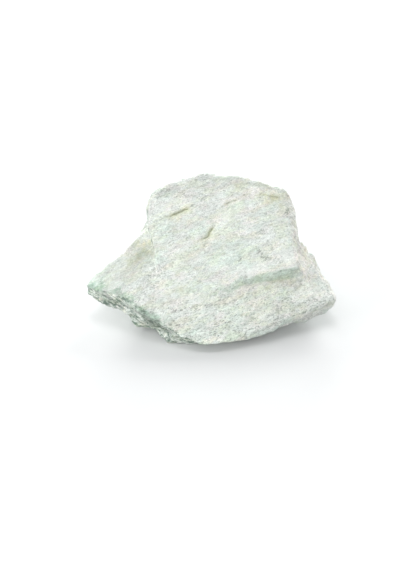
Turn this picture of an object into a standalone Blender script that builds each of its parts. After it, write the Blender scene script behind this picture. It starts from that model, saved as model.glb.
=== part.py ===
"""Fuchsite stone: a natural hand piece of green-mica quartzite, 78 mm across.

The rock is foliated: it splits along parallel layers that dip toward the
front, and breaks across them in rough, layered fractures. It is built the way
it broke. Angular slabs, each the convex hull of its own corners, are united
into one solid body, its edges are worn, and its skin is roughened: low steps
on the cleavage faces, protruding layers on the fractures, and a few open
cracks. Metres, +Z up; the stone lies on the XY plane as it was set down, its
longest side along X, its broad cleavage face toward -Y.
"""

import bmesh
import bpy
from mathutils import Vector, noise

MM = 0.001
VOXEL = 0.5          # mm, size of the cells that unite the slabs
FACES = 9000         # triangles that are kept
FOOT = -1.85         # mm: points below this are worn flat, so that the stone lies on flats
NAME = "fuchsite_stone"

# The foliation. LAYER is the normal of the layers, LINEATION the direction
# the mica is drawn out in, within a layer, and ACROSS runs up the dip.
LAYER = Vector((0.0, -0.695, 0.719)).normalized()
LINEATION = Vector((0.93, 0.27, 0.26)).normalized()
ACROSS = LAYER.cross(LINEATION).normalized()

# Corners in millimetres: X to the right, Y to the back, Z up.
UPPER_SLAB = [
    (-19.8, 8.2, 34.0), (-20.3, 5.0, 30.8), (-19.4, 1.7, 27.7), (-18.5, -2.4, 23.7), (-16.7, -8.8, 17.6),
    (1.6, -13.0, 13.5), (5.0, -12.0, 14.5), (14.3, -9.5, 16.9), (23.3, -6.9, 19.4),
    (24.9, -2.4, 23.7), (23.4, 1.7, 27.7), (22.9, 7.7, 33.5), (-0.6, 8.4, 34.2),
    (-18.6, 11.1, 34.6), (-10.0, 15.1, 36.7), (-4.3, 16.2, 37.5),
    (24.5, 9.5, 33.9), (26.4, 7.2, 30.2), (26.6, 5.0, 27.9), (26.2, 1.6, 24.8), (27.2, 1.8, 20.8),
    (26.0, -6.0, 11.0), (14.3, -10.2, 12.0), (1.9, -13.0, 8.0), (-15.0, -5.0, 8.0),
    (-19.0, 17.0, 24.0), (-14.0, 22.0, 22.0), (10.0, 24.0, 24.0), (22.0, 19.0, 24.0), (26.0, 9.0, 20.0),
]
BROW = [
    (4.4, -10.9, 15.5), (26.7, -7.6, 18.7), (24.9, -2.4, 23.7), (23.4, 1.7, 27.7), (8.8, -1.5, 24.6),
    (27.2, -7.2, 13.5), (19.6, -8.9, 12.5), (14.3, -10.0, 12.5), (5.0, -6.0, 13.0), (25.0, 0.0, 14.0),
]
CAP = [
    (-0.6, 8.6, 34.3), (8.8, 11.4, 37.1), (15.4, 12.2, 37.3), (15.5, 8.8, 34.5), (22.9, 7.6, 33.4),
    (22.6, 9.8, 35.5), (24.5, 9.5, 33.9), (8.9, 14.9, 38.2), (3.2, 15.5, 38.0), (-4.3, 16.2, 37.5),
    (4.0, 21.0, 33.0), (20.0, 16.0, 30.0), (8.0, 8.0, 30.0),
]
MIDDLE_SLAB = [
    (-16.9, -8.4, 16.4), (-20.4, 0.0, 19.6), (-26.9, -0.3, 19.6), (-23.5, 2.4, 22.0), (-19.9, 6.9, 25.9),
    (-20.0, 14.0, 20.0), (-25.0, 8.0, 12.0), (-10.0, 0.0, 10.0), (-10.0, 12.0, 24.0),
]
LOWER_SLAB = [
    (-39.7, -7.8, 11.8), (-35.0, -9.8, 11.8), (-28.5, -12.0, 12.6), (-26.0, -14.6, 11.8),
    (-33.2, -4.3, 14.7), (-31.2, -2.3, 16.7), (-27.2, -0.6, 19.2), (-16.7, -8.8, 17.6),
    (-23.2, -16.3, 10.3), (-17.3, -19.2, 7.5), (-11.4, -22.3, 4.5), (-4.0, -25.0, 1.9), (-1.2, -25.3, 1.6),
    (1.0, -6.0, 20.3), (1.4, -13.3, 13.1),
    (4.3, -24.3, 1.7), (7.5, -22.6, 2.8), (14.2, -18.5, 5.9), (24.2, -14.7, 8.1), (30.5, -12.6, 9.2), (38.4, -11.6, 8.9),
    (37.8, -8.0, 9.8), (30.7, -9.8, 11.9), (28.2, -7.7, 14.5), (27.2, -7.1, 15.1), (27.0, -2.0, 18.0),
    (28.5, 1.8, 20.0), (32.0, 2.7, 15.1), (34.3, 0.3, 11.3), (34.4, -1.6, 9.5),
    (10.6, -22.0, 1.2), (16.8, -19.5, 3.0), (22.1, -16.7, 4.5), (27.5, -14.7, 5.3), (32.2, -12.9, 6.4), (37.6, -11.3, 7.1),
    (15.8, -12.9, -1.6), (19.0, -12.6, 0.4), (39.1, -9.0, 6.9), (36.0, -3.0, 4.5), (28.0, 6.0, 4.0),
    (-38.6, -7.4, 8.4), (-33.6, -9.2, 6.4), (-29.2, -11.2, 5.2), (-20.0, -14.6, 3.0), (-12.0, -20.2, 1.5), (-3.0, -23.0, 0.3),
    (-34.0, -1.0, 8.0), (-26.0, 8.0, 12.0),
]
UNDER_SLAB = [
    (23.2, -13.6, 2.2), (25.5, -12.9, 1.6), (28.3, -12.4, 1.8), (30.8, -12.0, 1.7), (33.7, -11.0, 2.6),
    (36.2, -10.0, 3.8), (38.4, -9.0, 5.2), (38.8, -8.5, 7.0), (24.0, -13.5, 6.0), (30.0, -11.0, 8.0),
    (36.0, -3.0, 5.5), (26.0, 0.0, 3.0),
]
KNOB = [
    (-27.5, -14.0, 6.0), (-25.7, -14.2, 6.1), (-25.6, -14.0, 4.1), (-27.0, -13.8, 4.2),
    (-28.1, -11.8, 5.4), (-25.9, -12.4, 6.2), (-26.0, -9.0, 4.0), (-25.0, -10.0, 2.5),
]
RIGHT_FLANK = [
    (24.9, -2.4, 23.4), (26.6, -7.5, 18.5), (28.2, -7.7, 14.6), (29.4, -8.1, 13.9), (30.8, -9.4, 12.3),
    (34.6, -1.7, 10.0), (34.5, 0.4, 11.4), (32.1, 2.8, 15.3), (30.2, 2.9, 18.7), (28.5, 2.0, 20.9), (26.2, 1.6, 24.6),
    (24.0, 0.0, 12.0), (30.0, 2.0, 7.0),
]
BASE = [
    (-12.6, -19.7, -1.6), (-1.2, -20.7, -1.6), (11.0, -15.3, -1.6), (15.8, -12.9, -1.6), (24.0, -3.0, -1.6), (22.0, 12.0, -1.6),
    (4.0, 18.0, -1.6), (-16.0, 13.0, -1.6), (-22.0, -4.0, -1.6), (-16.1, -14.1, -1.6), (-14.5, -16.9, -1.6),
    (-28.0, 0.0, 8.0), (-25.0, 12.0, 8.0), (28.0, -4.0, 6.0), (27.0, 12.0, 8.0),
    (-17.8, -14.5, 2.0), (-12.0, -20.5, 1.2),
]
TOE = [
    (-26.6, -11.5, 2.8), (-25.2, -12.6, 1.0), (-23.5, -13.2, 0.3), (-21.0, -13.5, 0.2), (-18.5, -13.8, -0.4),
    (-26.0, -6.0, 4.0), (-17.0, -8.0, 0.0), (-22.0, -5.0, -0.5), (-18.5, -14.2, 3.0), (-24.0, -12.5, 4.5),
]
BACK = [
    (-17.0, 27.0, 13.0), (5.0, 29.0, 12.0), (20.0, 25.0, 12.0), (27.0, 14.0, 12.0),
    (-23.0, 14.0, 12.0), (-18.0, 17.0, 22.0),
    (-13.0, 18.5, 33.0), (10.0, 19.5, 34.0), (21.0, 15.0, 30.0),
    (4.0, 17.0, 2.0), (-15.0, 13.0, 2.0), (20.0, 11.0, 2.0), (0.0, 0.0, 5.0),
]
SLABS = {
    "upper_slab": UPPER_SLAB, "brow": BROW, "cap": CAP, "middle_slab": MIDDLE_SLAB,
    "lower_slab": LOWER_SLAB, "under_slab": UNDER_SLAB, "knob": KNOB, "right_flank": RIGHT_FLANK,
    "base": BASE, "toe": TOE, "back": BACK,
}

# Open cracks and flake scars on the cleavage faces: the line of the crack from
# left to right, its depth, and how far below it the scar fades out, in mm.
SCARS = [
    ([(-14.0, 3.8, 29.7), (-11.5, 4.5, 30.4), (-9.3, 5.2, 31.1), (-6.2, 6.1, 32.0)], 0.8, 1.8),
    ([(2.9, 6.1, 32.0), (5.1, 7.0, 32.9), (8.8, 8.0, 33.7)], 0.4, 1.4),
    ([(-3.7, -1.5, 24.6), (-1.5, -0.8, 25.3), (-0.3, 1.0, 27.0), (1.0, 2.0, 27.9)], 0.8, 1.4),
    ([(14.5, 9.1, 34.9), (18.5, 8.7, 34.4), (22.6, 8.1, 33.9)], 0.5, 1.6),
    ([(-21.4, -10.9, 15.2), (-19.2, -9.3, 16.8), (-17.0, -7.2, 18.7)], 0.4, 3.0),
    ([(25.5, -11.0, 11.5), (27.5, -9.5, 12.7), (29.7, -9.1, 12.8)], 0.4, 1.3),
    ([(5.6, -14.9, 10.9), (7.4, -15.4, 10.1)], 0.7, 0.6),
    ([(10.0, -9.9, 16.6), (11.7, -9.9, 16.6)], 1.0, 0.6),
    ([(-6.8, -17.2, 9.5), (-3.4, -16.3, 10.3)], 0.35, 1.8),
    ([(-12.0, -15.5, 11.2), (-9.5, -14.5, 12.2)], 0.3, 2.2),
]


def hull(name, corners):
    """The convex slab that has these corners."""
    bm = bmesh.new()
    for corner in corners:
        bm.verts.new(corner)
    bmesh.ops.convex_hull(bm, input=bm.verts, use_existing_faces=False)
    bmesh.ops.delete(bm, geom=[v for v in bm.verts if not v.link_faces], context="VERTS")
    bmesh.ops.recalc_face_normals(bm, faces=bm.faces)
    mesh = bpy.data.meshes.new(name)
    bm.to_mesh(mesh)
    bm.free()
    return mesh


def applied(ob, name):
    """A copy of the object's mesh with its modifiers applied."""
    graph = bpy.context.evaluated_depsgraph_get()
    return bpy.data.meshes.new_from_object(ob.evaluated_get(graph), depsgraph=graph).copy()


def united(slabs, voxel):
    """One closed body that encloses all the slabs, with its edges worn."""
    bm = bmesh.new()
    for name, corners in slabs.items():
        mesh = hull(name, corners)
        bm.from_mesh(mesh)
        bpy.data.meshes.remove(mesh)
    mesh = bpy.data.meshes.new("slabs")
    bm.to_mesh(mesh)
    bm.free()
    ob = bpy.data.objects.new("slabs", mesh)
    bpy.context.collection.objects.link(ob)
    remesh = ob.modifiers.new("Unite", "REMESH")
    remesh.mode = "VOXEL"
    remesh.voxel_size = voxel
    wear = ob.modifiers.new("Wear", "SMOOTH")
    wear.factor = 0.5
    wear.iterations = round(1.5 * (0.7 / voxel) ** 2)
    body = applied(ob, "body")
    bpy.data.objects.remove(ob)
    return body


def fbm(p, size, octaves):
    return noise.fractal(p / size, 1.0, 2.1, octaves, noise_basis="PERLIN_NEW")


def step(x):
    x = min(max(x, 0.0), 1.0)
    return x * x * (3.0 - 2.0 * x)


def terrace(x):
    """A flight of steps: flat treads and short risers, less the slope itself."""
    tread = int(x // 1.0)
    return tread + step((x - tread - 0.72) / 0.28) - x + 0.36


def scar(p, line, depth, reach):
    """How deep an open crack and the flake scar below it cut in at this point."""
    best, side, along, total = 1e9, 0.0, 0.0, 0.0
    for start, end in zip(line, line[1:]):
        start, end = Vector(start), Vector(end)
        run = end - start
        t = min(max((p - start).dot(run) / run.length_squared, 0.0), 1.0)
        off = p - (start + run * t)
        if off.length < best:
            best = off.length
            side = off.dot(LAYER.cross(run).normalized())
            along = total + t * run.length
        total += run.length
    if best > 3.5 * reach + 1.0:
        return 0.0
    taper = step(0.25 + 0.75 * min(along, total - along) / (0.3 * total))
    beside = max(best * best - side * side, 0.0) ** 0.5
    fade = taper * (1.0 - step(beside / 1.5))
    if side > 0.0:
        return depth * fade * (1.0 - step(side / 0.5))
    return depth * fade * 2.718 ** (side / reach)


def relief(p, n):
    """How far the skin stands out at p, in mm. n is the normal of the slab."""
    along, across, height = p.dot(LINEATION), p.dot(ACROSS), p.dot(LAYER)
    drawn = Vector((along / 2.4, across, height))
    cleaved = n.dot(LAYER) ** 2
    broken = 1.0 - cleaved
    out = 0.15 + 0.4 * fbm(p, 16.0, 2) + 0.18 * fbm(drawn, 4.0, 3)
    steps = 1.3 * fbm(drawn, 6.0, 3) - across / 9.0
    out += cleaved * 0.25 * terrace(steps)
    layer = height / 2.1 + 0.5 * fbm(p, 9.0, 2)
    shelf = int(layer // 1.0)
    blend = step((layer - shelf - 0.75) / 0.25)
    here = noise.noise(Vector((along / 9.0, across / 9.0, 7.3 * shelf)))
    above = noise.noise(Vector((along / 9.0, across / 9.0, 7.3 * (shelf + 1))))
    out += broken * 1.3 * (here + (above - here) * blend)
    out += broken * 0.45 * fbm(Vector((along / 5.0, across / 5.0, height / 1.1)), 1.0, 2)
    out -= sum(scar(p, *crack) for crack in SCARS) * cleaved
    return out


def roughened(mesh, relief_at):
    """Push every point of the body along its normal by the relief there."""
    normals = [n.vector.copy() for n in mesh.vertex_normals]
    for vertex, normal in zip(mesh.vertices, normals):
        vertex.co += normal * relief_at(vertex.co, normal)
    mesh.update()


def flattened(mesh, foot):
    """Wear the lowest points to flats, on the plane the stone lies on."""
    for vertex in mesh.vertices:
        vertex.co.z = max(vertex.co.z, foot) - foot


def thinned(mesh, faces):
    ob = bpy.data.objects.new("thin", mesh)
    bpy.context.collection.objects.link(ob)
    tri = ob.modifiers.new("Triangles", "TRIANGULATE")
    tri.quad_method = "SHORTEST_DIAGONAL"
    thin = ob.modifiers.new("Thin", "DECIMATE")
    thin.ratio = faces / sum(len(p.vertices) - 2 for p in mesh.polygons)
    thin.use_collapse_triangulate = True
    result = applied(ob, "thin")
    bpy.data.objects.remove(ob)
    return result


def placed(mesh):
    """Put the middle of the bottom at the origin and turn mm into metres."""
    for vertex in mesh.vertices:
        if vertex.co.z < 0.03:
            vertex.co.z = 0.0
    xs = [v.co.x for v in mesh.vertices]
    ys = [v.co.y for v in mesh.vertices]
    middle = Vector(((min(xs) + max(xs)) / 2, (min(ys) + max(ys)) / 2, 0.0))
    for vertex in mesh.vertices:
        vertex.co = (vertex.co - middle) * MM
    mesh.update()
    return middle


def stone_material():
    material = bpy.data.materials.new("fuchsite_quartzite")
    material.use_nodes = True
    shader = material.node_tree.nodes["Principled BSDF"]
    shader.inputs["Base Color"].default_value = (0.60, 0.68, 0.58, 1.0)
    shader.inputs["Roughness"].default_value = 0.75
    shader.inputs["Metallic"].default_value = 0.0
    material.diffuse_color = (0.60, 0.68, 0.58, 1.0)
    return material


def main():
    for ob in list(bpy.data.objects):
        bpy.data.objects.remove(ob)
    body = united(SLABS, VOXEL)
    roughened(body, relief)
    flattened(body, FOOT)
    mesh = thinned(body, FACES)
    mesh.name = NAME
    middle = placed(mesh)
    print("middle of the bottom, mm:", [round(c, 3) for c in middle])
    mesh.materials.clear()
    mesh.materials.append(stone_material())
    stone = bpy.data.objects.new(NAME, mesh)
    bpy.context.collection.objects.link(stone)
    for polygon in mesh.polygons:
        polygon.use_smooth = False
    return stone


main()
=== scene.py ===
import math

import bmesh
import bpy
import numpy as np
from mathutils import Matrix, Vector, noise


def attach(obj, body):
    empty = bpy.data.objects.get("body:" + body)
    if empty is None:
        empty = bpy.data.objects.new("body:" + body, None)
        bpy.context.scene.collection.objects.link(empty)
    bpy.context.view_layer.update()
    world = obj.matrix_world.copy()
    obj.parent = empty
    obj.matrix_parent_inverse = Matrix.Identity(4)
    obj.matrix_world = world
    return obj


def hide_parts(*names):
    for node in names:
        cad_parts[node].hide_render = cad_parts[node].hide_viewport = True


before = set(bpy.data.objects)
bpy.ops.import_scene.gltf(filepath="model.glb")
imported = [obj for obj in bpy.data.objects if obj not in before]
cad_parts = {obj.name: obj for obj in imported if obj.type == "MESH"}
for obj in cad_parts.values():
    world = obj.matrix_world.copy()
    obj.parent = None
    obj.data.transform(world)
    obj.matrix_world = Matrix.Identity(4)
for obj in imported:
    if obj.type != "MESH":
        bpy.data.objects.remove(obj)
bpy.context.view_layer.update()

# The stone of the frame, built again from the same slabs, cracks and relief,
# but on a cell of a third of a millimetre, with grains, chips and pits added,
# and coloured as fuchsite quartzite. All design lengths are in millimetres.
MM = 0.001
VOXEL = 0.38
MIDDLE = Vector((-0.025, 1.85, 0.0))   # the frame's origin in design coordinates
FOOT = -1.85

# The foliation. LAYER is the normal of the layers, LINEATION the direction
# the mica is drawn out in, within a layer, and ACROSS runs up the dip.
LAYER = Vector((0.0, -0.695, 0.719)).normalized()
LINEATION = Vector((0.93, 0.27, 0.26)).normalized()
ACROSS = LAYER.cross(LINEATION).normalized()

# Corners in millimetres: X to the right, Y to the back, Z up.
UPPER_SLAB = [
    (-19.8, 8.2, 34.0), (-20.3, 5.0, 30.8), (-19.4, 1.7, 27.7), (-18.5, -2.4, 23.7), (-16.7, -8.8, 17.6),
    (1.6, -13.0, 13.5), (5.0, -12.0, 14.5), (14.3, -9.5, 16.9), (23.3, -6.9, 19.4),
    (24.9, -2.4, 23.7), (23.4, 1.7, 27.7), (22.9, 7.7, 33.5), (-0.6, 8.4, 34.2),
    (-18.6, 11.1, 34.6), (-10.0, 15.1, 36.7), (-4.3, 16.2, 37.5),
    (24.5, 9.5, 33.9), (26.4, 7.2, 30.2), (26.6, 5.0, 27.9), (26.2, 1.6, 24.8), (27.2, 1.8, 20.8),
    (26.0, -6.0, 11.0), (14.3, -10.2, 12.0), (1.9, -13.0, 8.0), (-15.0, -5.0, 8.0),
    (-19.0, 17.0, 24.0), (-14.0, 22.0, 22.0), (10.0, 24.0, 24.0), (22.0, 19.0, 24.0), (26.0, 9.0, 20.0),
]
BROW = [
    (4.4, -10.9, 15.5), (26.7, -7.6, 18.7), (24.9, -2.4, 23.7), (23.4, 1.7, 27.7), (8.8, -1.5, 24.6),
    (27.2, -7.2, 13.5), (19.6, -8.9, 12.5), (14.3, -10.0, 12.5), (5.0, -6.0, 13.0), (25.0, 0.0, 14.0),
]
CAP = [
    (-0.6, 8.6, 34.3), (8.8, 11.4, 37.1), (15.4, 12.2, 37.3), (15.5, 8.8, 34.5), (22.9, 7.6, 33.4),
    (22.6, 9.8, 35.5), (24.5, 9.5, 33.9), (8.9, 14.9, 38.2), (3.2, 15.5, 38.0), (-4.3, 16.2, 37.5),
    (4.0, 21.0, 33.0), (20.0, 16.0, 30.0), (8.0, 8.0, 30.0),
]
MIDDLE_SLAB = [
    (-16.9, -8.4, 16.4), (-20.4, 0.0, 19.6), (-26.9, -0.3, 19.6), (-23.5, 2.4, 22.0), (-19.9, 6.9, 25.9),
    (-20.0, 14.0, 20.0), (-25.0, 8.0, 12.0), (-10.0, 0.0, 10.0), (-10.0, 12.0, 24.0),
]
LOWER_SLAB = [
    (-39.7, -7.8, 11.8), (-35.0, -9.8, 11.8), (-28.5, -12.0, 12.6), (-26.0, -14.6, 11.8),
    (-33.2, -4.3, 14.7), (-31.2, -2.3, 16.7), (-27.2, -0.6, 19.2), (-16.7, -8.8, 17.6),
    (-23.2, -16.3, 10.3), (-17.3, -19.2, 7.5), (-11.4, -22.3, 4.5), (-4.0, -25.0, 1.9), (-1.2, -25.3, 1.6),
    (1.0, -6.0, 20.3), (1.4, -13.3, 13.1),
    (4.3, -24.3, 1.7), (7.5, -22.6, 2.8), (14.2, -18.5, 5.9), (24.2, -14.7, 8.1), (30.5, -12.6, 9.2), (38.4, -11.6, 8.9),
    (37.8, -8.0, 9.8), (30.7, -9.8, 11.9), (28.2, -7.7, 14.5), (27.2, -7.1, 15.1), (27.0, -2.0, 18.0),
    (28.5, 1.8, 20.0), (32.0, 2.7, 15.1), (34.3, 0.3, 11.3), (34.4, -1.6, 9.5),
    (10.6, -22.0, 1.2), (16.8, -19.5, 3.0), (22.1, -16.7, 4.5), (27.5, -14.7, 5.3), (32.2, -12.9, 6.4), (37.6, -11.3, 7.1),
    (15.8, -12.9, -1.6), (19.0, -12.6, 0.4), (39.1, -9.0, 6.9), (36.0, -3.0, 4.5), (28.0, 6.0, 4.0),
    (-38.6, -7.4, 8.4), (-33.6, -9.2, 6.4), (-29.2, -11.2, 5.2), (-20.0, -14.6, 3.0), (-12.0, -20.2, 1.5), (-3.0, -23.0, 0.3),
    (-34.0, -1.0, 8.0), (-26.0, 8.0, 12.0),
]
UNDER_SLAB = [
    (23.2, -13.6, 2.2), (25.5, -12.9, 1.6), (28.3, -12.4, 1.8), (30.8, -12.0, 1.7), (33.7, -11.0, 2.6),
    (36.2, -10.0, 3.8), (38.4, -9.0, 5.2), (38.8, -8.5, 7.0), (24.0, -13.5, 6.0), (30.0, -11.0, 8.0),
    (36.0, -3.0, 5.5), (26.0, 0.0, 3.0),
]
KNOB = [
    (-27.5, -14.0, 6.0), (-25.7, -14.2, 6.1), (-25.6, -14.0, 4.1), (-27.0, -13.8, 4.2),
    (-28.1, -11.8, 5.4), (-25.9, -12.4, 6.2), (-26.0, -9.0, 4.0), (-25.0, -10.0, 2.5),
]
RIGHT_FLANK = [
    (24.9, -2.4, 23.4), (26.6, -7.5, 18.5), (28.2, -7.7, 14.6), (29.4, -8.1, 13.9), (30.8, -9.4, 12.3),
    (34.6, -1.7, 10.0), (34.5, 0.4, 11.4), (32.1, 2.8, 15.3), (30.2, 2.9, 18.7), (28.5, 2.0, 20.9), (26.2, 1.6, 24.6),
    (24.0, 0.0, 12.0), (30.0, 2.0, 7.0),
]
BASE = [
    (-12.6, -19.7, -1.6), (-1.2, -20.7, -1.6), (11.0, -15.3, -1.6), (15.8, -12.9, -1.6), (24.0, -3.0, -1.6), (22.0, 12.0, -1.6),
    (4.0, 18.0, -1.6), (-16.0, 13.0, -1.6), (-22.0, -4.0, -1.6), (-16.1, -14.1, -1.6), (-14.5, -16.9, -1.6),
    (-28.0, 0.0, 8.0), (-25.0, 12.0, 8.0), (28.0, -4.0, 6.0), (27.0, 12.0, 8.0),
    (-17.8, -14.5, 2.0), (-12.0, -20.5, 1.2),
]
TOE = [
    (-26.6, -11.5, 2.8), (-25.2, -12.6, 1.0), (-23.5, -13.2, 0.3), (-21.0, -13.5, 0.2), (-18.5, -13.8, -0.4),
    (-26.0, -6.0, 4.0), (-17.0, -8.0, 0.0), (-22.0, -5.0, -0.5), (-18.5, -14.2, 3.0), (-24.0, -12.5, 4.5),
]
BACK = [
    (-17.0, 27.0, 13.0), (5.0, 29.0, 12.0), (20.0, 25.0, 12.0), (27.0, 14.0, 12.0),
    (-23.0, 14.0, 12.0), (-18.0, 17.0, 22.0),
    (-13.0, 18.5, 33.0), (10.0, 19.5, 34.0), (21.0, 15.0, 30.0),
    (4.0, 17.0, 2.0), (-15.0, 13.0, 2.0), (20.0, 11.0, 2.0), (0.0, 0.0, 5.0),
]
SLABS = {
    "upper_slab": UPPER_SLAB, "brow": BROW, "cap": CAP, "middle_slab": MIDDLE_SLAB,
    "lower_slab": LOWER_SLAB, "under_slab": UNDER_SLAB, "knob": KNOB, "right_flank": RIGHT_FLANK,
    "base": BASE, "toe": TOE, "back": BACK,
}

# Open cracks and flake scars on the cleavage faces: the line of the crack from
# left to right, its depth, and how far below it the scar fades out, in mm.
SCARS = [
    ([(-14.0, 3.8, 29.7), (-11.5, 4.5, 30.4), (-9.3, 5.2, 31.1), (-6.2, 6.1, 32.0)], 0.8, 1.8),
    ([(2.9, 6.1, 32.0), (5.1, 7.0, 32.9), (8.8, 8.0, 33.7)], 0.4, 1.4),
    ([(-3.7, -1.5, 24.6), (-1.5, -0.8, 25.3), (-0.3, 1.0, 27.0), (1.0, 2.0, 27.9)], 0.8, 1.4),
    ([(14.5, 9.1, 34.9), (18.5, 8.7, 34.4), (22.6, 8.1, 33.9)], 0.5, 1.6),
    ([(-21.4, -10.9, 15.2), (-19.2, -9.3, 16.8), (-17.0, -7.2, 18.7)], 0.4, 3.0),
    ([(25.5, -11.0, 11.5), (27.5, -9.5, 12.7), (29.7, -9.1, 12.8)], 0.4, 1.3),
    ([(5.6, -14.9, 10.9), (7.4, -15.4, 10.1)], 0.7, 0.6),
    ([(10.0, -9.9, 16.6), (11.7, -9.9, 16.6)], 1.0, 0.6),
    ([(-6.8, -17.2, 9.5), (-3.4, -16.3, 10.3)], 0.35, 1.8),
    ([(-12.0, -15.5, 11.2), (-9.5, -14.5, 12.2)], 0.3, 2.2),
]


def hull(name, corners):
    """The convex slab that has these corners."""
    bm = bmesh.new()
    for corner in corners:
        bm.verts.new(corner)
    bmesh.ops.convex_hull(bm, input=bm.verts, use_existing_faces=False)
    bmesh.ops.delete(bm, geom=[v for v in bm.verts if not v.link_faces], context="VERTS")
    bmesh.ops.recalc_face_normals(bm, faces=bm.faces)
    mesh = bpy.data.meshes.new(name)
    bm.to_mesh(mesh)
    bm.free()
    return mesh


def applied(ob, name):
    """A copy of the object's mesh with its modifiers applied."""
    graph = bpy.context.evaluated_depsgraph_get()
    return bpy.data.meshes.new_from_object(ob.evaluated_get(graph), depsgraph=graph).copy()


def united(slabs, voxel):
    """One closed body that encloses all the slabs, with its edges worn."""
    bm = bmesh.new()
    for name, corners in slabs.items():
        mesh = hull(name, corners)
        bm.from_mesh(mesh)
        bpy.data.meshes.remove(mesh)
    mesh = bpy.data.meshes.new("slabs")
    bm.to_mesh(mesh)
    bm.free()
    ob = bpy.data.objects.new("slabs", mesh)
    bpy.context.collection.objects.link(ob)
    remesh = ob.modifiers.new("Unite", "REMESH")
    remesh.mode = "VOXEL"
    remesh.voxel_size = voxel
    wear = ob.modifiers.new("Wear", "SMOOTH")
    wear.factor = 0.5
    wear.iterations = round(1.5 * (0.7 / voxel) ** 2)
    body = applied(ob, "body")
    bpy.data.objects.remove(ob)
    return body


def fbm(p, size, octaves):
    return noise.fractal(p / size, 1.0, 2.1, octaves, noise_basis="PERLIN_NEW")


def step(x):
    x = min(max(x, 0.0), 1.0)
    return x * x * (3.0 - 2.0 * x)


def terrace(x):
    """A flight of steps: flat treads and short risers, less the slope itself."""
    tread = int(x // 1.0)
    return tread + step((x - tread - 0.72) / 0.28) - x + 0.36


def scar(p, line, depth, reach):
    """How deep an open crack and the flake scar below it cut in at this point."""
    best, side, along, total = 1e9, 0.0, 0.0, 0.0
    for start, end in zip(line, line[1:]):
        start, end = Vector(start), Vector(end)
        run = end - start
        t = min(max((p - start).dot(run) / run.length_squared, 0.0), 1.0)
        off = p - (start + run * t)
        if off.length < best:
            best = off.length
            side = off.dot(LAYER.cross(run).normalized())
            along = total + t * run.length
        total += run.length
    if best > 3.5 * reach + 1.0:
        return 0.0
    taper = step(0.25 + 0.75 * min(along, total - along) / (0.3 * total))
    beside = max(best * best - side * side, 0.0) ** 0.5
    fade = taper * (1.0 - step(beside / 1.5))
    if side > 0.0:
        return depth * fade * (1.0 - step(side / 0.5))
    return depth * fade * 2.718 ** (side / reach)


def relief(p, n):
    """How far the skin stands out at p, in mm. n is the normal of the slab."""
    along, across, height = p.dot(LINEATION), p.dot(ACROSS), p.dot(LAYER)
    drawn = Vector((along / 2.4, across, height))
    cleaved = n.dot(LAYER) ** 2
    broken = 1.0 - cleaved
    out = 0.15 + 0.4 * fbm(p, 16.0, 2) + 0.18 * fbm(drawn, 4.0, 3)
    steps = 1.3 * fbm(drawn, 6.0, 3) - across / 9.0
    out += cleaved * 0.25 * terrace(steps)
    layer = height / 2.1 + 0.5 * fbm(p, 9.0, 2)
    shelf = int(layer // 1.0)
    blend = step((layer - shelf - 0.75) / 0.25)
    here = noise.noise(Vector((along / 9.0, across / 9.0, 7.3 * shelf)))
    above = noise.noise(Vector((along / 9.0, across / 9.0, 7.3 * (shelf + 1))))
    out += broken * 1.3 * (here + (above - here) * blend)
    out += broken * 0.45 * fbm(Vector((along / 5.0, across / 5.0, height / 1.1)), 1.0, 2)
    out -= sum(scar(p, *crack) for crack in SCARS) * cleaved
    return out


def flattened(mesh, foot):
    """Wear the lowest points to flats, on the plane the stone lies on."""
    for vertex in mesh.vertices:
        vertex.co.z = max(vertex.co.z, foot) - foot


def grain(p, n):
    """Fine relief that the frame's solid is too coarse to hold."""
    along, across, height = p.dot(LINEATION), p.dot(ACROSS), p.dot(LAYER)
    cleaved = n.dot(LAYER) ** 2
    drawn = Vector((along / 1.6, across, height))
    # sugary grains of quartz, proud of one another, coarser low on the front
    sugar = 1.0 + 0.6 * step((13.0 - p.z) / 5.0)
    out = 0.09 * sugar * (0.45 - noise.voronoi(drawn / 0.7)[0][0])
    # small flakes torn off along the layers
    out += cleaved * 0.14 * terrace(1.1 * fbm(drawn, 1.9, 2) - across / 2.6)
    # thin layers standing out on the broken sides
    out += (1.0 - cleaved) * 0.38 * noise.noise(Vector((along / 2.2, across / 2.2, height / 0.6)))
    out += (1.0 - cleaved) * 0.25 * noise.noise(p / 0.9 + Vector((3.1, 7.7, 1.3)))
    out += 0.08 * sugar * noise.noise(p / 0.62 + Vector((3.1, 7.7, 1.3)))
    out += 0.13 * noise.noise(drawn / 2.2 + Vector((8.2, 2.7, 5.3)))
    # scattered pits where grains fell out
    pit = noise.voronoi(p / 2.3 + Vector((11.0, 5.0, 2.0)))[0][0]
    if pit < 0.22 and noise.noise(p / 5.0 + Vector((1.0, 9.0, 4.0))) > 0.0:
        out -= 0.30 * (1.0 - pit / 0.22)
    return out


def beside(p, line):
    """Distance from the line of a crack, signed across it, and 0 to 1 from its ends to its middle."""
    best, across, along, total = 1e9, 0.0, 0.0, 0.0
    for start, end in zip(line, line[1:]):
        start, end = Vector(start), Vector(end)
        run = end - start
        t = (p - start).dot(run) / run.length_squared
        off = p - (start + run * min(max(t, 0.0), 1.0))
        if off.length < best:
            best = off.length
            across = off.dot(LAYER.cross(run).normalized())
            along = total + t * run.length
        total += run.length
    return best, across, 1.0 - abs(2.0 * along / total - 1.0)


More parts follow.
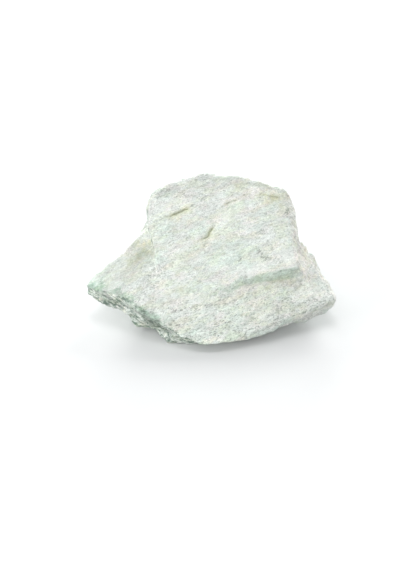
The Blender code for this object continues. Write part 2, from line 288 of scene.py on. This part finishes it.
# Where the stone is tinted, as soft spots: x, y, z, radius, amount.
MINT = [
    (-35, -6.5, 13.5, 3.8, 1), (-38, -7.5, 12, 2.6, 0.8), (-15.5, 1, 27, 3.5, 1), (-4.5, 0.5, 26.5, 2.9, 1),
    (-14.5, -3.5, 23, 3.2, 0.6), (6.5, -3.5, 23, 5.1, 0.9), (3, -5, 21, 3.2, 0.8), (13, -5.5, 21, 2.6, 0.9),
    (8, 5.5, 31.5, 2.2, 0.5), (-6, -13.5, 13, 2.6, 0.8), (-13, -11.5, 15, 2.6, 0.6), (-3, -11.5, 14.5, 2.9, 0.6),
    (22, -12, 11.5, 1.9, 0.8), (7.5, -18.5, 7, 3.2, 0.5), (-25.5, -13.5, 12.5, 2.6, 0.7), (18, 4.5, 30.5, 3.8, 0.4),
    (23, -0.5, 25.5, 2.6, 0.5), (6, -22.5, 3, 3.8, 0.4), (-2, -19.5, 7, 3.2, 0.5), (-0.5, -6.5, 20, 3.2, 0.5),
    (-17.5, -6.5, 20, 1.6, 0.9), (-5.5, -24.0, 3.4, 2.6, 1.2),
]
DARK = [
    (-17, 8.5, 34.5, 2.2, 0.4), (-13, 8.5, 34, 2.2, 0.6), (-9.5, 8.5, 34, 1.9, 0.8), (15.9, 0.3, 26.6, 1.1, 1.3),
    (14, 0, 26, 2.6, 0.4), (16.5, -5.5, 21, 2.6, 1), (20.5, -6.5, 20, 1.9, 1), (23, 5, 31, 1.3, 1.2),
    (-14.5, 1, 27, 1.3, 0.9), (8.5, -6, 20, 1.9, 0.8), (6, -8.5, 18, 2.9, 0.6), (-16, -7.5, 18.5, 2.6, 1.2),
    (-20, -9, 16.5, 2.2, 1.2), (-4.5, -16.5, 10, 1.6, 0.7), (-8, -19, 7.5, 1.6, 0.7), (22.5, -16, 7.5, 3.8, 0.45),
    (31, -12.5, 9.5, 2.9, 0.35), (35.5, -12.5, 8.5, 2.6, 0.5), (15.5, -19, 5, 3.2, 0.6), (11.2, -9.4, 16.4, 0.5, 3.0),
    (5.7, -15.5, 10.1, 0.6, 2.2), (-1, 6.5, 32, 1.6, 0.5), (10, -22, 3, 3.2, 0.4), (24.5, -4, 22.5, 1.9, 0.5),
    (22, -10, 13, 1.9, 0.5), (-8, 8.8, 36.4, 2.4, 0.3),
    (-2.3, 7.9, 35.9, 2.0, 0.5), (15.6, -1, 24.7, 0.5, 2.2), (12.2, -1.8, 25.2, 0.45, 2.0), (15, -3.6, 23.4, 0.5, 1.6),
    (15.9, -6.2, 22.1, 1.3, 0.9), (21.2, -4.7, 23.3, 1.6, 0.5), (23.2, 4.1, 31.8, 1.0, 1.3), (-19.8, 3.8, 31.2, 0.9, 1.5),
    (-14.3, -1, 27.2, 1.1, 0.8), (33, -13, 10, 2.4, 0.35), (28.5, -14.5, 8.5, 2.4, 0.4), (20.5, -18.5, 6.3, 2.6, 0.5),
    (-13, 5.9, 33.6, 1.6, 0.4), (14.6, -3.9, 21.6, 0.8, 1.4), (15.5, -5.2, 20.4, 0.6, 1.4), (18.1, -5.7, 20.5, 0.7, 1.3), (19.3, -5.7, 19.3, 0.5, 1.7),
    (20.2, -6.2, 18.7, 0.45, 2.3), (6.6, -9.1, 18.3, 0.6, 1.5), (9.3, -5.9, 20.2, 0.6, 1.4), (28.1, -12.1, 9.5, 0.45, 1.8), (-19.5, -11.1, 14.4, 1.6, 0.9),
    (-17.1, -11.7, 15, 1.2, 0.9),
]
STAIN = [
    (-21.5, -1.5, 20, 3.8, 1), (-20.5, 1, 22, 2.2, 1), (29.5, 0.5, 18.5, 2.2, 0.5), (17.5, -10, 14, 2.9, 0.8),
    (23.5, -8.5, 14, 2.9, 0.9), (-9.5, -12.5, 14, 1.3, 1), (-12.5, -5.5, 21, 1.3, 0.8), (-27.5, -6, 16, 2.6, 0.5), (-24, -4, 19, 3.2, 0.6),
    (-32.5, -3, 16.5, 2.2, 0.4), (8, 11.5, 37, 2.9, 0.7), (17.5, 8.5, 34.5, 3.5, 0.9), (21.5, 8, 34, 2.2, 0.9),
    (18.5, 2, 28, 0.6, 2), (8.5, -13, 12.5, 3.8, 0.5), (-12.5, 3.5, 29.5, 2.6, 0.8), (-7, 6, 31.5, 1.3, 0.7),
    (0, 0.5, 26.5, 1.6, 0.7), (-4.5, -3, 23.5, 2.6, 0.4), (29.5, -9.5, 12.5, 2.2, 0.5), (13.5, -15.5, 9, 4.5, 0.35),
    (1, 2.5, 28.5, 2.6, 0.3), (-8, -6.5, 20, 3.8, 0.3),
]
WHITE = [
    (23, -5.5, 20.5, 2.6, 1), (12, -8.5, 18, 2.6, 0.7), (16.5, -7.5, 18.5, 2.6, 0.7), (-12.5, 6.5, 33, 3.0, 0.1),
    (-16, 6.5, 32.5, 1.9, 0.4), (-31, -10.5, 12.5, 2.6, 0.9), (-16, -19, 7.5, 2.6, 0.6), (4.5, 3.5, 29.5, 1.9, 0.6),
    (15.5, -16, 8, 2.6, 0.6), (32, -10, 11.5, 2.9, 0.6), (-8.5, -15, 11.5, 3.8, 0.4), (-16, -15, 11.5, 3.2, 0.5),
    (-5.5, -6, 20, 2.6, 0.4), (-17.5, -1.5, 24.5, 1.6, 0.6), (-3, -15, 11.5, 2.6, 0.5), (27.5, -11.5, 10.5, 1.9, 0.6),
]

# Soft spots where the stone is darker and duller: mostly painted shade, in the recess left of the main block, on the
# wing, on the shelf under the step and low on the right; the two low at the front are a dull green patch.
DULL_AND_SHADE = [
    (-27, -6, 15.5, 7, 0.95), (-33, -7, 13.5, 5, 0.8), (-22, -9, 15, 5, 0.4), (-22, -0.5, 20, 4.5, 1.1),
    (25.5, 3, 28.5, 3.2, 0.6), (26, -1, 24, 2.5, 0.6), (12, -11, 14, 2.2, 0.8), (17, -10.3, 14.3, 2.4, 1.0),
    (22, -9.5, 14.5, 2.4, 1.1), (26, -9, 14.3, 2.4, 0.9), (34, -10.3, 10.5, 4.5, 0.3), (20, 9, 34.5, 3, 0.4),
    (-5.2, -24.0, 3.0, 2.2, 0.9), (-8.0, -23.4, 4.1, 1.6, 0.7),
    (-21.5, -3.5, 20.8, 3.2, 0.9), (30, -1, 18, 3.5, 0.35), (29, -14, 9, 4, 0.35), (22, -18, 7, 4, 0.3),
]

# The thin end of the step's riser, where its green tint and painted shade are laid on: a line along it with half its
# height.
RISER = [(-0.6, -13.7, 12.9, 0.5), (0.9, -13.2, 13.3, 0.7), (3.5, -12.6, 13.7, 1.0), (5.6, -12.2, 14.0, 1.2), (10.2, -10.8, 15.0, 1.4)]

# How open each of the cracks is.
OPEN = [0.44, 0.28, 0.42, 0.26, 0.0, 0.16, 0.0, 0.0, 0.0, 0.0]

# Two small holes where a grain fell out.
HOLES = [(10.9, -9.9, 16.6, 1.6, 1.0), (6.5, -15.1, 10.5, 1.6, 1.0)]

# Calmer parts, where the grain shows less.
CALM = [
    (-30, -5, 15.5, 6, 0.7), (-23, -1, 20, 4.5, 0.9), (-36, -7, 13, 4, 0.6), (5, -9, 18, 3.5, 0.5), (3, -4, 22, 3.5, 0.5),
    (-12, 6, 32, 4, 0.4), (12, 4, 30, 4, 0.4), (29.5, 0, 18.5, 4.5, 1.0), (28, -5, 19, 3.5, 0.7),
]

# The edge between the front and the torn left side, and spots of painted shade below it and in the recess left of the
# main block.
HEM = [(-39.5, -7.8, 11.8), (-35.0, -9.8, 11.8), (-28.5, -12.0, 12.6), (-26.0, -14.6, 11.8), (-23.2, -16.3, 10.3), (-17.3, -19.2, 7.5), (-11.4, -22.3, 4.5), (-4.0, -25.0, 1.9)]
SHADE_SPOTS = [
    (-19.2, -17.0, 4.9, 2.6, 0.9), (-19.2, -18.2, 6.6, 1.7, 0.8), (-17.4, -18.6, 5.6, 1.6, 0.8), (-22.5, -3.5, 20.2, 5.0, 0.16), (-32.1, -10.6, 8.6, 2.2, 0.9), (-29.1, -13.4, 11.4, 1.3, 0.6), (-26.5, -14.7, 10.5, 1.2, 0.7), (-23.7, -16.3, 9.2, 1.2, 0.6), (-21.2, -17.4, 7.8, 1.3, 0.8), (-16.7, -18.7, 5.0, 1.4, 0.7), (-14.3, -18.6, 3.2, 1.2, 0.5), (-13.6, -20.5, 3.5, 2.4, 0.8), (-23.9, -15.2, 6.7, 2.0, 0.6),
]


def spots(points, zones):
    """How strongly each point lies in the soft spots of one tint."""
    total = np.zeros(len(points))
    for x, y, z, radius, amount in zones:
        away = np.linalg.norm(points - (x, y, z), axis=1) / radius
        total += amount * np.exp(-away ** 2.0)
    return total


def ease(value, low, high):
    t = np.clip((value - low) / (high - low), 0.0, 1.0)
    return t * t * (3.0 - 2.0 * t)


def attribute(mesh, name, values):
    mesh.attributes.new(name, "FLOAT", "POINT").data.foreach_set("value", np.asarray(values, dtype=np.float32))


def shaped():
    """The skin of the stone in design millimetres, and what its tints depend on."""
    mesh = united(SLABS, VOXEL)
    mesh.name = "fuchsite_skin"
    normals = [n.vector.copy() for n in mesh.vertex_normals]
    stone = bpy.data.objects.new("fuchsite_skin", mesh)
    bpy.context.collection.objects.link(stone)

    # texture space for the export, laid out on the body while it is smooth
    bpy.context.view_layer.objects.active = stone
    stone.select_set(True)
    mesh.uv_layers.new(name="OFBake")
    bpy.ops.object.mode_set(mode="EDIT")
    bpy.ops.mesh.select_all(action="SELECT")
    bpy.ops.uv.smart_project(angle_limit=math.radians(66), island_margin=0.004)
    bpy.ops.object.mode_set(mode="OBJECT")

    notes = []
    for vertex, normal in zip(mesh.vertices, normals):
        p = vertex.co.copy()
        cleaved = normal.dot(LAYER) ** 2
        cut = cleaved * sum(scar(p, *crack) for crack in SCARS)
        fine = grain(p, normal)
        crack = (3.0, 3.0, 0.0)
        for (line, depth, reach), shown in zip(SCARS, OPEN):
            if shown and (p - Vector(line[0])).length < 14.0:
                found = beside(p + 0.35 * noise.noise_vector(p / 1.3), line)
                crack = min(crack, (found[0], found[1], min(2.2 * found[2], 1.0) * shown))
        open_by = max(1.0 - abs(crack[1]) / 0.55, 0.0) * step(2.0 * crack[2])
        notes.append((*normal, *(p + 1.6 * noise.noise_vector(p / 3.0) + 0.7 * noise.noise_vector(p / 0.9)), cut, fine, *crack))
        vertex.co = p + normal * (relief(p, normal) + fine - 0.35 * open_by)
    flattened(mesh, FOOT)
    return stone, np.array(notes)


def tinted(stone, notes):
    """Lay the masks of the tints on the skin and bring it to its place."""
    mesh = stone.data
    n, points, cut, fine, near = notes[:, 0:3], notes[:, 3:6], notes[:, 6], notes[:, 7], notes[:, 8]
    across, middle = notes[:, 9], notes[:, 10]
    cleaved = (n @ np.array(LAYER)) ** 2
    flank = ease(n @ np.array((0.80, -0.25, 0.52)), 0.80, 0.93) * ease(points[:, 0], 22.0, 25.5)
    crown = ease(points[:, 2], 32.0, 35.0) * ease(n @ np.array((0.0, -0.1, 0.995)), 0.80, 0.93)
    broken = ease(1.0 - cleaved, 0.35, 0.75)
    front = ease(n @ np.array((-0.45, -0.85, -0.25)), 0.60, 0.85)
    torn_and_shade = front * ease(-points[:, 2], -15.0, -11.5) * ease(-points[:, 0], -4.0, 4.0)
    # painted shade on faces turned down, carried with the torn side's tint
    underside_shade = ease(-n[:, 2], -0.10, 0.35)
    x, y, z = points[:, 0], points[:, 1], points[:, 2]
    riser = ease(-n[:, 1], 0.76, 0.92) * ease(x, 0.5, 4.0) * ease(-x, -28.2, -24.0) * ease(z, 11.5, 12.5) * ease(-z, -20.0, -19.0) * ease(y, -14.5, -13.5)
    for (x0, y0, z0, r0), (x1, y1, z1, r1) in zip(RISER, RISER[1:]):
        start, run = np.array((x0, y0, z0)), np.array((x1 - x0, y1 - y0, z1 - z0))
        s = np.clip((points - start) @ run / (run @ run), 0.0, 1.0)
        away = np.linalg.norm(points - start - s[:, None] * run, axis=1) / (r0 + (r1 - r0) * s)
        riser = np.maximum(riser, 1.25 * ease(-away, -1.5, -0.6))
    hem = np.full(len(points), 9.0)
    for start, end in zip(HEM, HEM[1:]):
        start, run = np.array(start), np.subtract(end, start)
        s = np.clip((points - start) @ run / (run @ run), 0.0, 1.0)
        hem = np.minimum(hem, np.linalg.norm(points - start - s[:, None] * run, axis=1))
    # steep front facets under the brow, darkened below as painted shade
    brow = ease(-n[:, 2], -0.62, -0.42) * ease(points[:, 0], 10.0, 16.0) * ease(-n[:, 1], 0.5, 0.8) * ease(points[:, 2], 0.0, 2.0)
    attribute(mesh, "mint", spots(points, MINT))
    attribute(mesh, "dark", spots(points, DARK) + 0.5 * crown)
    hole = np.clip(2.0 * spots(points, HOLES), 0.0, 1.0)
    attribute(mesh, "stain", (spots(points, STAIN) + 0.5 * cut) * (1.0 - hole))
    attribute(mesh, "white", spots(points, WHITE))
    attribute(mesh, "flank", flank)
    attribute(mesh, "crown", crown)
    attribute(mesh, "broken", broken)
    knob = np.exp(-np.sum((points - KNOB[0]) ** 2, axis=1) / 3.0)
    # the torn left side's green layers, with painted shade on it and on the undersides
    attribute(mesh, "torn_and_shade", np.clip(torn_and_shade + underside_shade * (1.0 - 0.85 * ease(x, -7.0, 2.0)), 0.0, 1.0) * (1.0 - 0.9 * knob))
    attribute(mesh, "hem", ease(-hem, -3.0, -0.3) * ease(-x, 8.0, 20.0) * ease(n @ np.array(LAYER), 0.4, 0.8))
    # painted shade: spots below the edge of the torn side and in the recess
    attribute(mesh, "deep", spots(points, SHADE_SPOTS))
    attribute(mesh, "sugary", ease(-z, -14.0, -10.0) * ease(n @ np.array(LAYER), 0.5, 0.9) * ease(x, -26.0, -20.0))
    # painted light: the front lip is lightened down to its lower edge
    attribute(mesh, "lip_light", ease(-z, -4.6, -2.6) * ease(-n[:, 1], 0.3, 0.6) * ease(x, -9.0, -5.0) * ease(-x, -18.0, -12.0))
    attribute(mesh, "calm", np.clip(spots(points, CALM), 0.0, 1.0))
    attribute(mesh, "riser", riser)
    # faces turned to the back, darkened in the shader as painted shade
    attribute(mesh, "back", ease(n @ np.array((0.0, 0.97, -0.25)), 0.0, 0.55))
    attribute(mesh, "crack_side", np.where(near < 2.5, across, 3.0))
    attribute(mesh, "crack_middle", np.clip(middle, 0.0, 1.0))
    # painted shade on the left face of the main block, down in the recess beside the wing
    recess_shade = ease(-n[:, 0], 0.40, 0.75) * ease(-x, 17.5, 20.0) * ease(z, 22.0, 25.0)
    attribute(mesh, "dull_and_shade", spots(points, DULL_AND_SHADE) + 0.9 * recess_shade)
    attribute(mesh, "brow", brow)
    attribute(mesh, "fine", fine / 0.15)
    for vertex in mesh.vertices:
        vertex.co = (vertex.co - MIDDLE) * MM
    mesh.update()
    mesh.polygons.foreach_set("use_smooth", [True] * len(mesh.polygons))


# ---------------------------------------------------------------- material

def put(tree, kind, inputs=None, **settings):
    node = tree.nodes.new(kind)
    for name, value in settings.items():
        setattr(node, name, value)
    for key, value in (inputs or {}).items():
        if isinstance(value, bpy.types.NodeSocket):
            tree.links.new(value, node.inputs[key])
        else:
            node.inputs[key].default_value = value
    return node


def quartzite():
    material = bpy.data.materials.new("fuchsite_quartzite_skin")
    material.use_nodes = True
    tree = material.node_tree
    shader = tree.nodes["Principled BSDF"]

    def maths(operation, a, b=0.0, clamp=False):
        return put(tree, "ShaderNodeMath", {0: a, 1: b}, operation=operation, use_clamp=clamp).outputs[0]

    def vector(operation, a, b=(0.0, 0.0, 0.0)):
        node = put(tree, "ShaderNodeVectorMath", {0: a, 1: b}, operation=operation)
        return node.outputs["Value" if operation == "DOT_PRODUCT" else "Vector"]

    def scaled(a, size):
        return put(tree, "ShaderNodeVectorMath", {0: a, "Scale": size}, operation="SCALE").outputs["Vector"]

    def cloud(at, size, detail=2.0, rough=0.5, twist=0.0):
        return put(tree, "ShaderNodeTexNoise", {"Vector": at, "Scale": 1.0 / size, "Detail": detail, "Roughness": rough, "Distortion": twist})

    def remap(value, low, high, to_low=0.0, to_high=1.0):
        return put(tree, "ShaderNodeMapRange", {"Value": value, "From Min": low, "From Max": high, "To Min": to_low, "To Max": to_high},
                   interpolation_type="SMOOTHSTEP").outputs["Result"]

    def colour(r, g, b):
        return (r, g, b, 1.0)

    def mixed(a, b, share, blend="MIX"):
        return put(tree, "ShaderNodeMix", {0: share, 6: a, 7: b}, data_type="RGBA", blend_type=blend).outputs[2]

    def ramp(value, *stops):
        node = put(tree, "ShaderNodeValToRGB", {"Fac": value})
        band = node.color_ramp
        while len(band.elements) < len(stops):
            band.elements.new(0.5)
        for element, (place, tone) in zip(band.elements, stops):
            element.position, element.color = place, tone
        return node.outputs["Color"]

    def mask(name):
        return put(tree, "ShaderNodeAttribute", attribute_name=name).outputs["Fac"]

    at = scaled(put(tree, "ShaderNodeTexCoord").outputs["Object"], 1000.0)

    def strata(stretch, squeeze):
        """Millimetres along the lineation, up the dip and through the layers."""
        return put(tree, "ShaderNodeCombineXYZ", {
            "X": maths("DIVIDE", vector("DOT_PRODUCT", at, tuple(LINEATION)), stretch),
            "Y": vector("DOT_PRODUCT", at, tuple(ACROSS)),
            "Z": maths("MULTIPLY", vector("DOT_PRODUCT", at, tuple(LAYER)), squeeze),
        }).outputs[0]

    def tint(base, r, g, b, share):
        return mixed(base, mixed(base, colour(r, g, b), 1.0, "MULTIPLY"), share)

    def grey(value):
        return put(tree, "ShaderNodeCombineColor", {0: value, 1: value, 2: value}).outputs[0]

    drawn = strata(2.2, 1.3)
    shaken = vector("ADD", drawn, scaled(vector("SUBTRACT", cloud(at, 0.5, 2.0).outputs["Color"], (0.5, 0.5, 0.5)), 0.45))

    # grains: each has its own tone, from dark mica to clear white quartz
    coarse = put(tree, "ShaderNodeTexVoronoi", {"Vector": shaken, "Scale": 1.5, "Randomness": 1.0})
    fine = put(tree, "ShaderNodeTexVoronoi", {"Vector": shaken, "Scale": 3.6, "Randomness": 1.0})
    coarse_id = put(tree, "ShaderNodeSeparateColor", {"Color": coarse.outputs["Color"]}).outputs
    fine_id = put(tree, "ShaderNodeSeparateColor", {"Color": fine.outputs["Color"]}).outputs
    tone = maths("ADD", maths("MULTIPLY", coarse_id[0], 0.16), maths("MULTIPLY", fine_id[0], 0.84))
    base = ramp(tone,
                (0.00, colour(0.40, 0.43, 0.40)), (0.12, colour(0.575, 0.61, 0.578)),
                (0.28, colour(0.675, 0.717, 0.678)), (0.55, colour(0.745, 0.79, 0.75)),
                (1.00, colour(0.835, 0.865, 0.835)))
    gritty = mixed(colour(0.975, 0.98, 0.97), colour(0.70, 0.72, 0.70), remap(tone, 0.36, 0.05))
    base = mixed(base, mixed(base, gritty, 1.0, "MULTIPLY"), mask("sugary"))
    base = mixed(base, colour(0.70, 0.737, 0.70), maths("MULTIPLY", mask("calm"), 0.55))
    cloudy = cloud(drawn, 2.6, 4.0, 0.65).outputs["Fac"]
    base = mixed(base, grey(remap(cloudy, 0.30, 0.70, 0.935, 1.045)), 1.0, "MULTIPLY")
    patchy = cloud(vector("ADD", drawn, (4.0, 6.0, 2.0)), 5.0, 2.0, 0.55).outputs["Fac"]
    base = mixed(base, grey(remap(patchy, 0.34, 0.66, 0.945, 1.035)), 1.0, "MULTIPLY")
    dusty = cloud(vector("ADD", scaled(drawn, 0.85), scaled(at, 0.25)), 0.27, 2.0, 0.5).outputs["Fac"]
    base = mixed(base, grey(remap(dusty, 0.26, 0.74, 0.80, 1.145)), 1.0, "MULTIPLY")

    # some grains are rosy, some patches are rich in green mica
    rosy = remap(maths("ADD", maths("MULTIPLY", coarse_id[1], 0.12), cloud(vector("ADD", drawn, (7.0, 3.0, 9.0)), 2.6, 3.0).outputs["Fac"]), 0.50, 0.70)
    base = tint(base, 1.045, 0.985, 1.0, rosy)
    olive = remap(maths("ADD", maths("MULTIPLY", coarse_id[2], 0.12), cloud(vector("ADD", drawn, (1.0, 8.0, 4.0)), 2.2, 3.0).outputs["Fac"]), 0.50, 0.70)
    base = tint(base, 0.985, 0.985, 0.91, olive)
    drift = cloud(drawn, 4.0, 3.0, 0.6).outputs["Fac"]
    green = maths("ADD", mask("mint"), maths("MULTIPLY", remap(drift, 0.48, 0.66), 0.6), True)
    base = tint(base, 0.940, 1.005, 0.972, green)

    # crushed quartz is whiter
    base = mixed(base, colour(0.86, 0.885, 0.835), maths("MULTIPLY", maths("MINIMUM", mask("white"), 1.0), 0.40))

    # dark specks, in clusters
    speck = cloud(shaken, 0.34, 3.0, 0.65).outputs["Fac"]
    cluster = maths("ADD", maths("MULTIPLY", mask("dark"), 0.16), maths("MULTIPLY", remap(cloud(drawn, 6.0, 2.0).outputs["Fac"], 0.45, 0.7), 0.05))
    cluster = maths("ADD", cluster, maths("MULTIPLY", mask("brow"), 0.05))
    cluster = maths("ADD", cluster, maths("MULTIPLY", mask("sugary"), 0.008))
    cluster = maths("ADD", cluster, maths("MULTIPLY", mask("torn_and_shade"), 0.06))
    cluster = maths("SUBTRACT", cluster, maths("MULTIPLY", mask("flank"), 0.05))
    specks = remap(maths("SUBTRACT", maths("ADD", speck, cluster), maths("MULTIPLY", mask("calm"), 0.06)), 0.66, 0.80)
    base = mixed(base, colour(0.20, 0.23, 0.20), maths("MULTIPLY", specks, 0.75))

    # olive and ochre stain in cracks and hollows
    stained = maths("MULTIPLY", mask("stain"), remap(cloud(at, 1.4, 3.0, 0.6).outputs["Fac"], 0.25, 0.65), True)
    base = tint(base, 0.97, 0.945, 0.82, stained)
    wobble = maths("MULTIPLY", maths("SUBTRACT", cloud(at, 0.9, 3.0, 0.6).outputs["Fac"], 0.5), 0.35)
    across = maths("ABSOLUTE", maths("ADD", mask("crack_side"), wobble))
    middle = mask("crack_middle")
    narrow = remap(middle, 0.0, 0.6, 0.10, 0.30)
    line = maths("MULTIPLY", remap(maths("DIVIDE", across, narrow), 1.3, 0.2), remap(middle, 0.0, 0.6))
    seep = maths("MULTIPLY", remap(across, 1.6, 0.1), remap(middle, 0.0, 0.6))
    base = tint(base, 0.98, 0.95, 0.80, maths("MULTIPLY", seep, 0.6))
    base = tint(base, 0.50, 0.505, 0.41, maths("MULTIPLY", line, remap(cloud(at, 0.8, 2.0).outputs["Fac"], 0.25, 0.5, 0.55, 1.0)))

    # the broken right flank is warmer and the crown is dusty; below, painted shade is laid on the dull spots, the
    # recess rim and the brow facets
    base = tint(base, 1.115, 1.075, 1.065, mask("flank"))
    fall = put(tree, "ShaderNodeCombineXYZ", {
        "X": vector("DOT_PRODUCT", at, (0.57, -0.17, -0.80)),
        "Y": maths("MULTIPLY", vector("DOT_PRODUCT", at, (0.29, 0.96, 0.0)), 5.0),
        "Z": maths("MULTIPLY", vector("DOT_PRODUCT", at, (0.77, -0.23, 0.60)), 5.0),
    }).outputs[0]
    combed = put(tree, "ShaderNodeTexNoise", {"Vector": fall, "Scale": 0.33, "Detail": 3.0, "Roughness": 0.6, "Distortion": 0.4}).outputs["Fac"]
    base = mixed(base, mixed(base, grey(remap(combed, 0.37, 0.63, 0.78, 1.05)), 1.0, "MULTIPLY"), mask("flank"))
    base = tint(base, 0.805, 0.815, 0.81, mask("crown"))
    # painted shade, mostly: the dull spots and the rim in the recess; two spots low at the front are a dull green
    # patch
    base = tint(base, 0.70, 0.715, 0.705, maths("MULTIPLY", mask("dull_and_shade"), 0.53, True))
    # painted shade on the steep facets under the brow
    base = tint(base, 0.92, 0.935, 0.925, mask("brow"))

    # painted light on the front lip
    base = tint(base, 1.12, 1.12, 1.12, mask("lip_light"))

    # the torn sides show the green layers end on; the tint is also painted shade there and on the faces turned down
    streak = put(tree, "ShaderNodeTexNoise", {"Vector": strata(3.0, 4.0), "Scale": 0.45, "Detail": 4.0, "Roughness": 0.65}).outputs["Fac"]
    streak = maths("ADD", streak, maths("MULTIPLY", maths("SUBTRACT", speck, 0.5), 0.40))
    ends = mixed(colour(0.24, 0.325, 0.275), colour(1.18, 1.18, 1.16), remap(streak, 0.37, 0.61))
    base = mixed(base, mixed(base, ends, 1.0, "MULTIPLY"), mask("torn_and_shade"))
    # painted shade in the spots below the torn side's edge and in the recess
    base = tint(base, 0.45, 0.485, 0.46, maths("MINIMUM", mask("deep"), 1.0))
    blades = remap(maths("ADD", streak, maths("MULTIPLY", mask("hem"), 0.14)), 0.50, 0.68)
    base = tint(base, 0.60, 0.73, 0.645, maths("MULTIPLY", blades, mask("hem")))
    # the riser of the step is greener and darker: green mica, and painted shade where the step faces down
    base = tint(base, 0.81, 0.885, 0.83, maths("MULTIPLY", mask("riser"), remap(cloud(at, 0.6, 4.0, 0.7).outputs["Fac"], 0.3, 0.65, 0.40, 1.15)))

    # the back is darker and greener: painted shade that holds back the strong lamps behind, laid out as a seam rich in
    # green mica
    back_shade = remap(maths("ADD", mask("back"), maths("MULTIPLY", maths("SUBTRACT", drift, 0.5), 0.7)), 0.22, 0.72)
    seam = remap(maths("ADD", streak, maths("MULTIPLY", maths("SUBTRACT", drift, 0.5), 0.8)), 0.36, 0.64)
    base = mixed(base, mixed(base, mixed(colour(0.46, 0.57, 0.50), colour(0.72, 0.78, 0.73), seam), 1.0, "MULTIPLY"), back_shade)

    # darker in the hollows and lighter on the crests of the fine relief: dust and bruised white quartz, and also
    # painted shade in the hollows and painted highlights on the crests
    base = mixed(base, grey(remap(mask("fine"), -1.2, 1.2, 0.90, 1.04)), 1.0, "MULTIPLY")

    glint = remap(fine_id[2], 0.93, 0.95)
    rough = maths("SUBTRACT", remap(cloud(at, 1.2, 2.0).outputs["Fac"], 0.3, 0.7, 0.66, 0.84), maths("MULTIPLY", glint, 0.3))
    height = maths("ADD", cloud(at, 0.35, 3.0, 0.65).outputs["Fac"], maths("MULTIPLY", fine.outputs["Distance"], -0.6))
    bump = put(tree, "ShaderNodeBump", {"Strength": 0.6, "Distance": 0.00016, "Height": height}).outputs["Normal"]
    tree.links.new(base, shader.inputs["Base Color"])
    tree.links.new(rough, shader.inputs["Roughness"])
    tree.links.new(bump, shader.inputs["Normal"])
    shader.inputs["IOR"].default_value = 1.54
    return material


stone, notes = shaped()
tinted(stone, notes)
stone.data.materials.clear()
stone.data.materials.append(quartzite())
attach(stone, "root")
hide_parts("fuchsite_stone")

# ---------------------------------------------------------------- floor, light and camera

def plain(name, tone, rough):
    material = bpy.data.materials.new(name)
    material.use_nodes = True
    shader = material.node_tree.nodes["Principled BSDF"]
    shader.inputs["Base Color"].default_value = (*tone, 1.0)
    shader.inputs["Roughness"].default_value = rough
    return material


bm = bmesh.new()
bmesh.ops.create_grid(bm, x_segments=1, y_segments=1, size=6.0)
floor_mesh = bpy.data.meshes.new("floor")
bm.to_mesh(floor_mesh)
bm.free()
floor = bpy.data.objects.new("floor", floor_mesh)
bpy.context.collection.objects.link(floor)
floor_mesh.materials.append(plain("floor_white", (0.683, 0.692, 0.694), 0.9))

scene = bpy.context.scene
scene.view_settings.view_transform = "Standard"
world = bpy.data.worlds.new("studio")
scene.world = world
world.use_nodes = True
world.node_tree.nodes["Background"].inputs["Color"].default_value = (0.975, 0.988, 1.0, 1.0)
world.node_tree.nodes["Background"].inputs["Strength"].default_value = 0.38


def softbox(name, azimuth, elevation, width, height, watts):
    """A soft rectangular light one metre off. Azimuth 0 is the viewer's side, 90 the right."""
    a, e = math.radians(azimuth), math.radians(elevation)
    at = Vector((math.sin(a) * math.cos(e), -math.cos(a) * math.cos(e), math.sin(e)))
    light = bpy.data.lights.new(name, "AREA")
    light.shape = "RECTANGLE"
    light.size, light.size_y = width, height
    light.energy = watts
    lamp = bpy.data.objects.new(name, light)
    lamp.location = at
    lamp.rotation_euler = at.to_track_quat("Z", "Y").to_euler()
    bpy.context.collection.objects.link(lamp)
    return lamp


softbox("back_low", 180, 15, 0.34, 0.3, 5.3)
softbox("back_right", 147, 33, 0.55, 0.34, 4.6)
softbox("back_left", 215, 33, 0.55, 0.34, 3.6)
softbox("low_right", 115, 15, 0.34, 0.3, 1.6)
softbox("low_left", 245, 15, 0.34, 0.3, 1.2)
softbox("left_front", 300, 22, 0.34, 0.3, 2.8)
softbox("left", 270, 37, 0.4, 0.34, 1.9)
softbox("overhead", 0, 84, 0.4, 0.4, 2.6)
softbox("front", 0, 36, 0.5, 0.34, 2.8)

camera_data = bpy.data.cameras.new("camera")
camera = bpy.data.objects.new("camera", camera_data)
bpy.context.collection.objects.link(camera)
camera_data.lens = 100.0
camera_data.clip_end = 50.0
elevation = math.radians(35.0)
aim = (Vector((-3.7, 0.0, 6.47 - FOOT)) - MIDDLE) * MM
back = Vector((0.0, -math.cos(elevation), math.sin(elevation)))
camera.location = aim + back * 0.5046
camera.rotation_euler = back.to_track_quat("Z", "Y").to_euler()
scene.camera = camera
